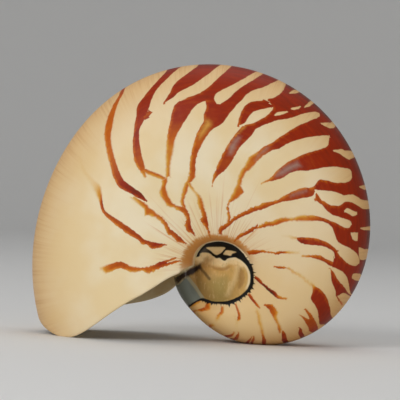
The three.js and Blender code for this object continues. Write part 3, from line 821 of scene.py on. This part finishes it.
# The bands on the dorsal wall, in mm inside them or from their line.
BAND_RIPPLE = 0.8
GREY_BAND_MM = (-0.5, 0.8)
PALE_LINE_MM = (-1.1, -0.4, 0.8)
DARK_BAND_MM = (-0.6, 1.2)

# The pad, in mm from its lines, inside its outline, or of x and z.
RIPPLE_SCALE, RIPPLE_MM = 0.7, 0.5
CREAM_Z = (-1, 3)
OLIVE_Z = (-1, -9, 0.8)
OLIVE_X = (9, 1)
VALLEY_X = (8.6, 11)
VALLEY_INSIDE_MM = (2.2, 3.6, 0.7)
DORSAL_X = (1, -9, 0.65)
DORSAL_CREAM_Z = (2, 5)
RIDGE_MM = (-2.2, -0.2, 0.45)
OLIVE_LEVELS = (0.5, 0.72, 0.4)
CREAM_LEVELS = (0.47, 0.28, 0.45)
FOLD_MM = (-1.4, -0.2, 0.7)
UNDER_FOLD_Z = (1.6, -0.6)
RIM_MM = (1.7, 0.7)
RIM_SIDE = (0, 6)
CREASE_MM = (-1.3, -0.1, 0.7)

# The black film, and its spikes at the lower right. Left of the umbilicus it ends at the flank.
FILM_EDGE = (0.25, -0.25)
ISLAND_EDGE = (-0.3, 0.3)
GREYED_X = (-4, -8)
GREYED_MM = (0.8, 2.2, 0.8)
SPIKES_PER_DEGREE, SPIKE_LENGTH, SPIKE_DIP = 0.3, 4, -0.2
SPIKED_SIDE = (2, 14)
FLANK_TURNS = (50, 60)
FLANK_X = (-12.6, -13.2)

LINES_PER_COLUMN = 1.2
LINE_SCALE, FINE_LINE_SCALE = 0.9, 3.5
LINE_DEPTH = 0.0001
DORSAL_TURNS = (-100, -120)
PEARL_LEVELS = (0.25, 0.75)
SHEEN_SHARE, SHEEN_BLEND = 0.35, 0.35
CLOUD_SCALE, DRIFT_SCALE, PEARL_BUMP_SCALE = 0.035, 0.05, 0.6
SMOOTHEST, LINE_ROUGHNESS, OUTSIDE_GLOSS = 0.34, 0.16, 0.16
PEARL_ROUGHNESS, PEARL_GLOSS = 0.26, 0.5
LINE_BUMP, PEARL_BUMP = 0.5, 0.4


# A material's nodes, built one call at a time. A call's inputs are numbers, colours or sockets.
class Surface:
    def __init__(self, name):
        self.material = bpy.data.materials.new(name)
        self.material.use_nodes = True
        self.tree = self.material.node_tree
        self.shader = self.tree.nodes["Principled BSDF"]

    def connect(self, socket, value):
        if isinstance(value, bpy.types.NodeSocket):
            self.tree.links.new(value, socket)
        else:
            socket.default_value = value

    def node(self, kind, inputs, **settings):
        node = self.tree.nodes.new(kind)
        for name, value in settings.items():
            setattr(node, name, value)
        for key, value in inputs.items():
            self.connect(node.inputs[key], value)
        return node

    def field(self, name, kind="Fac"):
        return self.node("ShaderNodeAttribute", {}, attribute_name=name).outputs[kind]

    def parts(self, vector):
        return self.node("ShaderNodeSeparateXYZ", {0: vector}).outputs

    def vector(self, x, y, z):
        return self.node("ShaderNodeCombineXYZ", {0: x, 1: y, 2: z}).outputs[0]

    def math(self, operation, *values):
        return self.node("ShaderNodeMath", dict(enumerate(values)), operation=operation).outputs[0]

    def times(self, first, second):
        return self.math("MULTIPLY", first, second)

    def plus(self, first, second):
        return self.math("ADD", first, second)

    def least(self, first, second, third):
        return self.math("MINIMUM", self.math("MINIMUM", first, second), third)

    # A value with a share of another added to it.
    def mixed_in(self, value, share, added):
        return self.math("MULTIPLY_ADD", added, share, value)

    # Rises smoothly from 0 to top while the value goes from low to high.
    def rise(self, value, low, high, top=1):
        inputs = {"Value": value, "From Min": low, "From Max": high, "To Min": 0, "To Max": top}
        return self.node("ShaderNodeMapRange", inputs, interpolation_type="SMOOTHSTEP").outputs[0]

    def noise(self, place, scale, detail=3, rough=0.5):
        inputs = {"Vector": place, "Scale": scale, "Detail": detail, "Roughness": rough}
        return self.node("ShaderNodeTexNoise", inputs).outputs["Fac"]

    # Noise from -reach to reach.
    def sway(self, place, scale, reach, detail=3):
        return self.mixed_in(-reach, 2 * reach, self.noise(place, scale, detail))

    def blend(self, share, below, above):
        node = self.node("ShaderNodeMix", {"Factor": share}, data_type="RGBA")
        self.connect(node.inputs[6], below)
        self.connect(node.inputs[7], above)
        return node.outputs[2]

    def ramp(self, value, stops):
        node = self.node("ShaderNodeValToRGB", {"Fac": value})
        elements = node.color_ramp.elements
        elements[0].position, elements[0].color = stops[0]
        elements[1].position, elements[1].color = stops[-1]
        for position, colour in stops[1:-1]:
            elements.new(position).color = colour
        return node.outputs["Color"]

    def bump(self, height, strength):
        inputs = {"Height": height, "Distance": LINE_DEPTH, "Strength": strength}
        return self.node("ShaderNodeBump", inputs).outputs["Normal"]


# The cream ground of the outside, warmer on the older part of the whorl and towards the venter,
# where the warmer tints are partly painted shade.
def ground(s, turn, column, coil, lines):
    cloud = s.noise(coil, CLOUD_SCALE)
    base = s.blend(s.rise(cloud, *CLOUD_LEVELS), CREAM, PALE_CREAM)
    old = s.rise(turn, *OLD_TURNS)
    warm = s.math("MAXIMUM", s.rise(column, *WARM_COLUMNS), s.times(old, OLD_WARMTH))
    base = s.blend(warm, base, WARM_CREAM)
    base = s.blend(s.times(old, s.rise(column, *HONEY_COLUMNS)), base, HONEY)
    base = s.blend(s.rise(turn, *OLDEST_TURNS), base, HONEY)
    # Peach and tan towards the venter, streaked along the growth lines, are partly painted shade.
    streaked = s.mixed_in(PEACH_SHARE, PEACH_STREAK_SHARE, s.rise(lines, *STREAK_LEVELS))
    base = s.blend(s.times(s.rise(column, *PEACH_COLUMNS), streaked), base, PEACH)
    tanned = s.times(s.rise(column, *TAN_COLUMNS), s.rise(lines, *TAN_LEVELS))
    return s.blend(tanned, base, TAN)


# The orange tint round the umbilicus, laid on as if with a dry brush.
def brushwork(s, below, turn, column):
    place = s.vector(s.times(turn, BRISTLES_PER_DEGREE), s.times(column, BRISTLES_PER_COLUMN), 0)
    reach = s.mixed_in(BRISTLE_ROOT, BRISTLE_REACH, s.noise(place, 1, rough=0.6))
    brushed = s.rise(column, reach, s.math("SUBTRACT", reach, BRISTLE_FADE), BRUSH_SHARE)
    brushed = s.times(brushed, s.rise(column, *BRUSH_COLUMNS))
    brushed = s.times(brushed, s.rise(turn, *BRUSH_TURNS))
    brushed = s.times(brushed, s.rise(turn, *BRUSH_LAST_TURNS))
    return s.blend(brushed, below, BRUSH)


# How much of a stripe shows, from how far its two edges and its ends are.
def stripe_cover(s, start, end, cap, tone, wobble):
    depth = s.least(start, end, s.plus(cap, END_OVERLAP))
    softness = s.rise(tone, *SOFT_TONES)
    cover = s.rise(depth, s.math("SUBTRACT", -EDGE_SOFTNESS, softness), s.plus(EDGE_SOFTNESS, softness))
    gap = s.plus(s.least(*s.parts(s.field("gap", "Vector"))), wobble)
    cover = s.times(cover, s.rise(gap, *GAP_EDGE))
    return s.times(cover, s.rise(tone, *FADING_TONES))


# The stripes, with their gaps, fringes and lighter patches, the grey ones painted highlights.
def stripes(s, below, turn, column, coil):
    along = s.vector(s.times(turn, HAIRS_PER_DEGREE), s.times(column, HAIRS_PER_COLUMN), 0)
    hairs = s.sway(along, HAIR_SCALE, 1, HAIR_DETAIL)
    wobble = s.sway(coil, 0.4, 0.35)
    start, end, cap = s.parts(s.field("stripe", "Vector"))
    tone = s.field("stripe_tone")
    ragged = s.times(hairs, s.plus(s.rise(tone, *RAGGED_TONES), s.rise(column, *RAGGED_COLUMNS)))
    start = s.plus(start, s.plus(wobble, ragged))
    end = s.plus(end, s.plus(s.sway(coil, 0.55, 0.3), s.times(ragged, FAR_EDGE_RAGGEDNESS)))
    fringe = s.times(s.rise(start, *FRINGE_MM), s.rise(hairs, *FRINGE_HAIRS))
    fringe = s.times(fringe, s.rise(column, *FRINGE_COLUMNS))
    deep = s.times(s.rise(column, *DEEP_COLUMNS), s.rise(turn, *DEEP_TURNS))
    shade = s.plus(s.plus(tone, deep), s.plus(fringe, s.sway(along, 1.3, 0.4)))
    colour = s.ramp(s.mixed_in(TONE_STEP, TONE_STEP, shade), STRIPE_TONES)
    # Gold patches, and grey ones that are painted highlights.
    patch = s.plus(s.least(*s.parts(s.field("patch", "Vector"))), hairs)
    patch_and_highlight_colour = s.blend(s.field("patch_tone"), GREY_SHEEN, GOLD_PATCH)
    colour = s.blend(s.rise(patch, *PATCH_MM), colour, patch_and_highlight_colour)
    return s.blend(stripe_cover(s, start, end, cap, tone, wobble), below, colour)


# The grey band across the dorsal wall, black film with a painted reflection, the pale line beside
# it, a painted highlight, and the dark band under the lip, partly film and partly painted shadow.
def dorsal_bands(s, below, ripple):
    grey, dark, pale = s.parts(s.field("bands", "Vector"))
    colour = s.blend(s.rise(s.mixed_in(grey, BAND_RIPPLE, ripple), *GREY_BAND_MM), below, GREY_GREEN)
    colour = s.blend(s.rise(pale, *PALE_LINE_MM), colour, PALE_GREEN)
    return s.blend(s.rise(s.plus(dark, ripple), *DARK_BAND_MM), colour, DARK_BROWN)


# The pad of the umbilicus: cream above and tan below, painted light and shade of a bulge lit from
# above, with its ridge, valley, fold, rim and crease. The ridge has a painted highlight, and the
# valley, the fold, the crease and the dorsal wall painted shade.
def pad_colour(s, pad, x, z, coil, ripple):
    crease, ridge, fold = s.parts(s.field("folds", "Vector"))
    height = s.plus(s.sway(coil, 0.22, 5), z)
    # Painted light and shade: cream at the top of the pad, tan and olive lower down.
    colour = s.blend(s.rise(height, *CREAM_Z), PAD_TAN, PAD_CREAM)
    colour = s.blend(s.times(s.rise(height, *OLIVE_Z), s.rise(x, *OLIVE_X)), colour, PAD_OLIVE)
    # Painted shade in the valley.
    valley_shade = s.times(s.rise(x, *VALLEY_X), s.rise(s.plus(pad, ripple), *VALLEY_INSIDE_MM))
    colour = s.blend(valley_shade, colour, PAD_SHADE_BROWN)
    # Painted shade on the dorsal wall, lighter at its top.
    dorsal = s.blend(s.rise(height, *DORSAL_CREAM_Z), PAD_SHADE_BROWN, PAD_CREAM)
    colour = s.blend(s.rise(x, *DORSAL_X), colour, dorsal)
    # A painted highlight along the ridge.
    colour = s.blend(s.rise(s.mixed_in(ridge, 2, ripple), *RIDGE_MM), colour, PAD_CREAM)
    mottle = s.noise(s.vector(x, 0, s.times(z, 0.35)), 0.9, 5, 0.65)
    colour = s.blend(s.rise(mottle, *OLIVE_LEVELS), colour, PAD_OLIVE)
    colour = s.blend(s.rise(mottle, *CREAM_LEVELS), colour, PAD_CREAM)
    # Painted shadow below the fold.
    fold_shadow = s.times(s.rise(fold, *FOLD_MM), s.rise(z, *UNDER_FOLD_Z))
    colour = s.blend(fold_shadow, colour, PAD_SHADE_BROWN)
    rim = s.times(s.rise(pad, *RIM_MM), s.rise(s.plus(x, z), *RIM_SIDE))
    colour = s.blend(rim, colour, PAD_RIM)
    # The crease is a dark line of painted shade.
    return s.blend(s.rise(s.mixed_in(crease, 0.8, ripple), *CREASE_MM), colour, DARK_BROWN)


# The black film's colour, grey at the upper left, with cream islands that are painted highlights
# on the dark wall, drawn as bare nacre.
def film_colour(s, film, island, x, ripple):
    island_highlight = s.rise(s.mixed_in(island, 0.25, ripple), *ISLAND_EDGE)
    greyed = s.times(s.rise(x, *GREYED_X), s.rise(film, *GREYED_MM))
    return s.blend(island_highlight, s.blend(greyed, BLACK_FILM, FILM_GREY), PAD_CREAM)


# The umbilicus: its pad with the dorsal wall beside it, and the film that edges them.
def umbilicus(s, below, turn, coil):
    pad, film, island = s.parts(s.field("edges", "Vector"))
    x, _, z = s.parts(coil)
    ripple = s.sway(coil, RIPPLE_SCALE, RIPPLE_MM)
    colour = dorsal_bands(s, pad_colour(s, pad, x, z, coil, ripple), ripple)
    filmed = s.rise(s.mixed_in(pad, 0.5, ripple), *FILM_EDGE)
    colour = s.blend(filmed, colour, film_colour(s, film, island, x, ripple))
    spikes = s.sway(s.vector(s.times(turn, SPIKES_PER_DEGREE), 0, 0), 1, SPIKE_LENGTH)
    spiked = s.rise(s.math("SUBTRACT", x, z), *SPIKED_SIDE)
    reach = s.plus(film, s.times(s.math("MAXIMUM", spikes, SPIKE_DIP), spiked))
    on_flank = s.times(s.rise(turn, *FLANK_TURNS), s.rise(x, *FLANK_X))
    reach = s.mixed_in(reach, FAR, on_flank)
    return s.blend(s.rise(reach, *reversed(FILM_EDGE)), below, colour)


def outer_material():
    s = Surface("shell_outside")
    turn, column, coil = s.field("turn"), s.field("column"), s.field("coil", "Vector")
    growth = s.vector(turn, s.times(column, LINES_PER_COLUMN), 0)
    lines = s.noise(growth, LINE_SCALE, 4, 0.65)
    colour = ground(s, turn, column, coil, lines)
    colour = brushwork(s, colour, turn, column)
    colour = stripes(s, colour, turn, column, coil)
    s.connect(s.shader.inputs["Base Color"], umbilicus(s, colour, turn, coil))
    relief = s.mixed_in(lines, 0.5, s.noise(growth, FINE_LINE_SCALE, 4, 0.6))
    s.connect(s.shader.inputs["Normal"], s.bump(relief, LINE_BUMP))
    s.connect(s.shader.inputs["Roughness"], s.mixed_in(SMOOTHEST, LINE_ROUGHNESS, lines))
    s.shader.inputs["Specular IOR Level"].default_value = OUTSIDE_GLOSS
    return s.material


# Mother-of-pearl, whose tint drifts from gold to silver. A share of its colour is a sheen that
# changes with the angle from which it is seen.
def inner_material():
    s = Surface("shell_inside")
    coil = s.field("coil", "Vector")
    drift = s.plus(s.noise(coil, DRIFT_SCALE), s.sway(coil, 0.4, 0.12))
    base = s.ramp(s.rise(drift, *PEARL_LEVELS), PEARL_TONES)
    facing = s.node("ShaderNodeLayerWeight", {"Blend": SHEEN_BLEND}).outputs["Facing"]
    pearl = s.blend(SHEEN_SHARE, base, s.ramp(facing, SHEEN_TONES))
    # The dorsal wall inside the mouth gets the same bands, with their painted reflection, highlight and
    # shadow.
    banded = dorsal_bands(s, pearl, s.sway(coil, RIPPLE_SCALE, RIPPLE_MM))
    dorsal = s.rise(s.field("turn"), *DORSAL_TURNS)
    s.connect(s.shader.inputs["Base Color"], s.blend(dorsal, pearl, banded))
    s.connect(s.shader.inputs["Normal"], s.bump(s.noise(coil, PEARL_BUMP_SCALE, 4), PEARL_BUMP))
    s.shader.inputs["Roughness"].default_value = PEARL_ROUGHNESS
    s.shader.inputs["Specular IOR Level"].default_value = PEARL_GLOSS
    return s.material


shell, stand_offset = build_shell()
shell.data.materials.append(outer_material())
shell.data.materials.append(inner_material())
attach(shell, "root")
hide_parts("shell")

# ---------------------------------------------------------------- studio

FLOOR_RADIUS = 2.2
WALL_RADIUS = 3.2
WALL_TOP = 2.6
RING_SEGMENTS = 96
BEND_STEPS = 16
FLOOR_COLOUR = (0.8, 0.79, 0.77, 1)
FLOOR_ROUGHNESS = 0.9


def floor_material():
    material = bpy.data.materials.new("pale_floor")
    material.use_nodes = True
    surface = material.node_tree.nodes["Principled BSDF"]
    surface.inputs["Base Color"].default_value = FLOOR_COLOUR
    surface.inputs["Roughness"].default_value = FLOOR_ROUGHNESS
    return material


# A pale floor that curves up into a wall on all sides.
def build_floor():
    profile = [(0.0, 0.0), (FLOOR_RADIUS, 0.0)]
    bend = WALL_RADIUS - FLOOR_RADIUS
    for k in range(1, BEND_STEPS + 1):
        angle = k / BEND_STEPS * math.pi / 2
        profile.append((FLOOR_RADIUS + bend * math.sin(angle), bend * (1 - math.cos(angle))))
    profile.append((WALL_RADIUS, WALL_TOP))
    verts, faces = [(0.0, 0.0, 0.0)], []
    for radius, height in profile[1:]:
        for k in range(RING_SEGMENTS):
            angle = k / RING_SEGMENTS * math.tau
            verts.append((radius * math.cos(angle), radius * math.sin(angle), height))
    for k in range(RING_SEGMENTS):
        following = (k + 1) % RING_SEGMENTS
        faces.append((0, 1 + k, 1 + following))
        for ring in range(len(profile) - 2):
            inner, outer = 1 + ring * RING_SEGMENTS, 1 + (ring + 1) * RING_SEGMENTS
            faces.append((inner + k, outer + k, outer + following, inner + following))
    mesh = bpy.data.meshes.new("studio_floor")
    mesh.from_pydata(verts, [], faces)
    mesh.shade_smooth()
    floor = bpy.data.objects.new("studio_floor", mesh)
    bpy.context.scene.collection.objects.link(floor)
    floor.data.materials.append(floor_material())


build_floor()

CAMERA_AZIMUTH = 6
CAMERA_DISTANCE = 1.1
VIEW_WIDTH = 0.2048
SENSOR_WIDTH = 36
# Where the middle of the view is, from the coil's axis.
VIEW_RIGHT, VIEW_UP = -11.58, 33.8

# Each light's name, its place and its size in metres, and its power in watts.
LIGHTS = [
    ("key", (-0.7, -1.3, 1.0), 0.9, 10.5),
    ("fill", (0.5, -1.7, 0.12), 1.0, 5),
    ("top", (0.1, 0.3, 1.6), 1.2, 4),
]
LIT_POINT = (0, 0, 0.07)
AIR_COLOUR = (0.9, 0.92, 0.95, 1)
AIR_STRENGTH = 0.42


# Takes a point of the coil to where it is once the shell stands.
def stood(point):
    return (STAND @ Vector(point) + stand_offset) * MM


def build_camera():
    angle = math.radians(CAMERA_AZIMUTH)
    target = stood((VIEW_RIGHT, 0, VIEW_UP))
    back = STAND @ Vector((math.sin(angle), -math.cos(angle), 0))
    right = STAND @ Vector((math.cos(angle), math.sin(angle), 0))
    up = STAND @ Vector((0, 0, 1))
    data = bpy.data.cameras.new("camera")
    data.sensor_width = SENSOR_WIDTH
    data.lens = SENSOR_WIDTH * CAMERA_DISTANCE / VIEW_WIDTH
    camera = bpy.data.objects.new("camera", data)
    axes = Matrix((right, up, back)).transposed().to_4x4()
    camera.matrix_world = Matrix.Translation(target + back * CAMERA_DISTANCE) @ axes
    bpy.context.scene.collection.objects.link(camera)
    bpy.context.scene.camera = camera


def area_light(name, position, size, power):
    data = bpy.data.lights.new(name, "AREA")
    data.shape = "DISK"
    data.size = size
    data.energy = power
    light = bpy.data.objects.new(name, data)
    light.location = position
    light.rotation_euler = (Vector(LIT_POINT) - Vector(position)).to_track_quat("-Z", "Y").to_euler()
    bpy.context.scene.collection.objects.link(light)


def build_lights():
    for light in LIGHTS:
        area_light(*light)
    world = bpy.data.worlds.new("studio_air")
    world.use_nodes = True
    air = world.node_tree.nodes["Background"]
    air.inputs["Color"].default_value = AIR_COLOUR
    air.inputs["Strength"].default_value = AIR_STRENGTH
    bpy.context.scene.world = world
    bpy.context.scene.view_settings.view_transform = "Standard"


build_camera()
build_lights()
